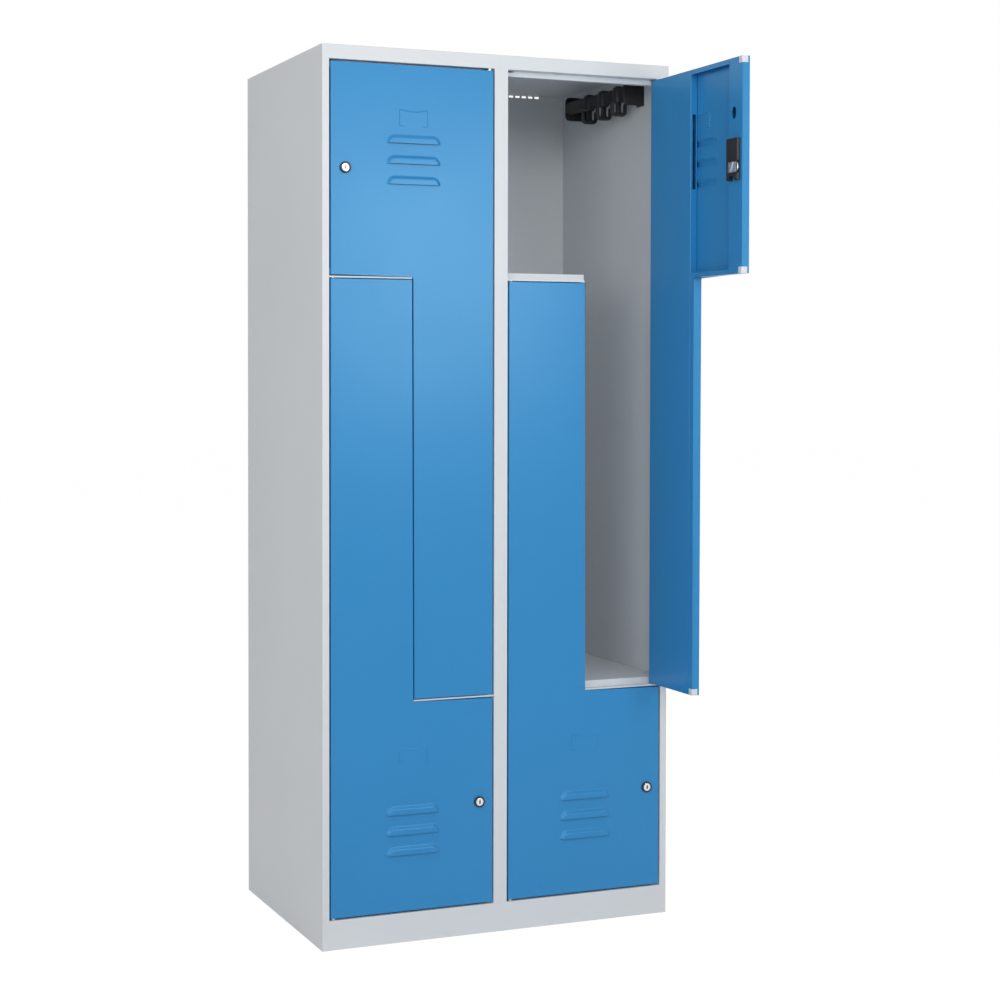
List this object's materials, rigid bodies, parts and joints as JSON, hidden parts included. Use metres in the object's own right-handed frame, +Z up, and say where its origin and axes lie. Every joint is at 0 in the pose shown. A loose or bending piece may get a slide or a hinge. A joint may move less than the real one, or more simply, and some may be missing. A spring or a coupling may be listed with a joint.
{
  "type": "z locker",
  "caption": "Tall steel locker with interlocking L-shaped doors that lock, one standing open, over stacked wardrobe compartments with coat hooks.",
  "frame": {"origin": "on the ground, under the middle of the whole locker as stored, its open door included", "axes": "+Z up along the height; -Y is the front with the doors; +X to the right seen from the front"},
  "size_m": [0.8, 0.85, 1.85],
  "materials": {
    "grey_paint": "satin",
    "blue_paint": "satin",
    "black_plastic": "satin",
    "bright_steel": "polished"
  },
  "bodies": {
    "carcass": {"left_side_panel": "grey_paint", "right_side_panel": "grey_paint", "centre_stile": "grey_paint", "centre_partition": "grey_paint", "roof_panel": "grey_paint", "base_panel": "grey_paint", "back_panel": "grey_paint", "left_top_stop": "grey_paint", "left_upper_shelf": "grey_paint", "left_lower_shelf": "grey_paint", "left_divider": "grey_paint", "left_upper_coat_rail": "black_plastic", "left_lower_coat_rail": "black_plastic", "left_front_foot": "black_plastic", "left_back_foot": "black_plastic", "right_top_stop": "grey_paint", "right_upper_shelf": "grey_paint", "right_lower_shelf": "grey_paint", "right_divider": "grey_paint", "right_upper_coat_rail": "black_plastic", "right_lower_coat_rail": "black_plastic", "right_front_foot": "black_plastic", "right_back_foot": "black_plastic"},
    "left_lower_door": {"left_lower_door_head_pan": "blue_paint", "left_lower_door_leg_pan": "blue_paint", "left_lower_door_hinge_stiffener": "blue_paint", "left_lower_door_lock_stiffener": "blue_paint", "left_lower_door_lock_case": "black_plastic", "left_lower_door_lower_hinge_pin": "bright_steel", "left_lower_door_upper_hinge_pin": "bright_steel"},
    "left_lower_door_barrel": {"left_lower_door_lock_barrel": "bright_steel"},
    "left_lower_door_bolt": {"left_lower_door_lock_bolt": "bright_steel"},
    "left_upper_door": {"left_upper_door_head_pan": "blue_paint", "left_upper_door_leg_pan": "blue_paint", "left_upper_door_hinge_stiffener": "blue_paint", "left_upper_door_lock_stiffener": "blue_paint", "left_upper_door_lock_case": "black_plastic", "left_upper_door_lower_hinge_pin": "bright_steel", "left_upper_door_upper_hinge_pin": "bright_steel"},
    "left_upper_door_barrel": {"left_upper_door_lock_barrel": "bright_steel"},
    "left_upper_door_bolt": {"left_upper_door_lock_bolt": "bright_steel"},
    "right_lower_door": {"right_lower_door_head_pan": "blue_paint", "right_lower_door_leg_pan": "blue_paint", "right_lower_door_hinge_stiffener": "blue_paint", "right_lower_door_lock_stiffener": "blue_paint", "right_lower_door_lock_case": "black_plastic", "right_lower_door_lower_hinge_pin": "bright_steel", "right_lower_door_upper_hinge_pin": "bright_steel"},
    "right_lower_door_barrel": {"right_lower_door_lock_barrel": "bright_steel"},
    "right_lower_door_bolt": {"right_lower_door_lock_bolt": "bright_steel"},
    "right_upper_door": {"right_upper_door_head_pan": "blue_paint", "right_upper_door_leg_pan": "blue_paint", "right_upper_door_hinge_stiffener": "blue_paint", "right_upper_door_lock_stiffener": "blue_paint", "right_upper_door_lock_case": "black_plastic", "right_upper_door_lower_hinge_pin": "bright_steel", "right_upper_door_upper_hinge_pin": "bright_steel"},
    "right_upper_door_barrel": {"right_upper_door_lock_barrel": "bright_steel"},
    "right_upper_door_bolt": {"right_upper_door_lock_bolt": "bright_steel"}
  },
  "joints": [
    {"name": "left_lower_door_hinge", "type": "hinge", "parent": "carcass", "child": "left_lower_door", "pos_m": [-0.375, -0.0685, 0.067], "axis": [0, 0, -1], "range_deg": [0, 110]},
    {"name": "left_lower_door_key_turn", "type": "hinge", "parent": "left_lower_door", "child": "left_lower_door_barrel", "pos_m": [-0.0495, -0.0685, 0.282], "axis": [0, 1, 0], "range_deg": [0, 90]},
    {"name": "left_lower_door_bolt_slide", "type": "slide", "parent": "left_lower_door", "child": "left_lower_door_bolt", "axis": [1, 0, 0], "range_m": [0, 0.014]},
    {"name": "left_upper_door_hinge", "type": "hinge", "parent": "carcass", "child": "left_upper_door", "pos_m": [-0.025, -0.0685, 0.507], "axis": [0, 0, 1], "range_deg": [0, 95]},
    {"name": "left_upper_door_key_turn", "type": "hinge", "parent": "left_upper_door", "child": "left_upper_door_barrel", "pos_m": [-0.3505, -0.0685, 1.6015], "axis": [0, 1, 0], "range_deg": [0, 90]},
    {"name": "left_upper_door_bolt_slide", "type": "slide", "parent": "left_upper_door", "child": "left_upper_door_bolt", "axis": [-1, 0, 0], "range_m": [0, 0.014]},
    {"name": "right_lower_door_hinge", "type": "hinge", "parent": "carcass", "child": "right_lower_door", "pos_m": [0.025, -0.0685, 0.067], "axis": [0, 0, -1], "range_deg": [0, 95]},
    {"name": "right_lower_door_key_turn", "type": "hinge", "parent": "right_lower_door", "child": "right_lower_door_barrel", "pos_m": [0.3505, -0.0685, 0.282], "axis": [0, 1, 0], "range_deg": [0, 90]},
    {"name": "right_lower_door_bolt_slide", "type": "slide", "parent": "right_lower_door", "child": "right_lower_door_bolt", "axis": [1, 0, 0], "range_m": [0, 0.014]},
    {"name": "right_upper_door_hinge", "type": "hinge", "parent": "carcass", "child": "right_upper_door", "pos_m": [0.375, -0.0685, 0.507], "axis": [0, 0, 1], "range_deg": [-90, 20]},
    {"name": "right_upper_door_key_turn", "type": "hinge", "parent": "right_upper_door", "child": "right_upper_door_barrel", "pos_m": [0.375, -0.394, 1.6015], "axis": [-1, 0, 0], "range_deg": [0, 90]},
    {"name": "right_upper_door_bolt_slide", "type": "slide", "parent": "right_upper_door", "child": "right_upper_door_bolt", "axis": [0, -1, 0], "range_m": [0, 0.014]}
  ],
  "couplings": [
    {"joint": "left_lower_door_bolt_slide", "follows": "left_lower_door_key_turn", "m_per_rad": 0.0089},
    {"joint": "left_upper_door_bolt_slide", "follows": "left_upper_door_key_turn", "m_per_rad": 0.0089},
    {"joint": "right_lower_door_bolt_slide", "follows": "right_lower_door_key_turn", "m_per_rad": 0.0089},
    {"joint": "right_upper_door_bolt_slide", "follows": "right_upper_door_key_turn", "m_per_rad": 0.0089}
  ]
}
